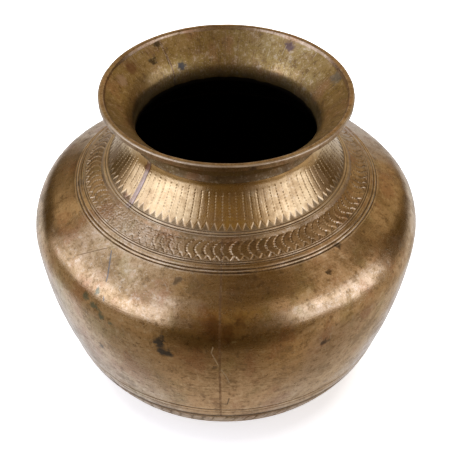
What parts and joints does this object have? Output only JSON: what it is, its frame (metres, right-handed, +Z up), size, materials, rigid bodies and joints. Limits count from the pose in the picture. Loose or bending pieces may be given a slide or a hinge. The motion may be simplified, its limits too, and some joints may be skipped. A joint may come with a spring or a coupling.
{
  "type": "lota water pot",
  "caption": "Round-bodied sheet-brass water pot with a sloping shoulder, punched conical neck, flared mouth and thick turned lip.",
  "frame": {"origin": "centre of the flat underside of the base pan", "axes": "+Z up the axis of the pot, from the base to the mouth; -Y faces the body's closing seam"},
  "size_m": [0.194, 0.194, 0.164],
  "materials": {
    "lip_brass": "worn, polished edge with dark brown patina below",
    "mouth_brass": "mottled golden-brown patina with brushed lines",
    "neck_brass": "burnished brass with dark punch marks",
    "body_brass": "aged brass, semi-gloss, mottled brown patina",
    "base_brass": "dull aged brass, scuffed, with dark chased marks",
    "seam_spelter": "brazing spelter, pinkish brown, satin",
    "fillet_spelter": "brazing spelter, dull yellow brown, satin"
  },
  "bodies": {
    "root": {"lip_ring": "lip_brass", "mouth_flare": "mouth_brass", "flare_seam": "seam_spelter", "neck_collar": "neck_brass", "neck_seam": "seam_spelter", "body_shell": "body_brass", "body_seam": "seam_spelter", "base_pan": "base_brass", "lip_braze": "fillet_spelter", "throat_braze": "fillet_spelter", "collar_braze": "fillet_spelter", "base_braze": "fillet_spelter"}
  },
  "joints": []
}
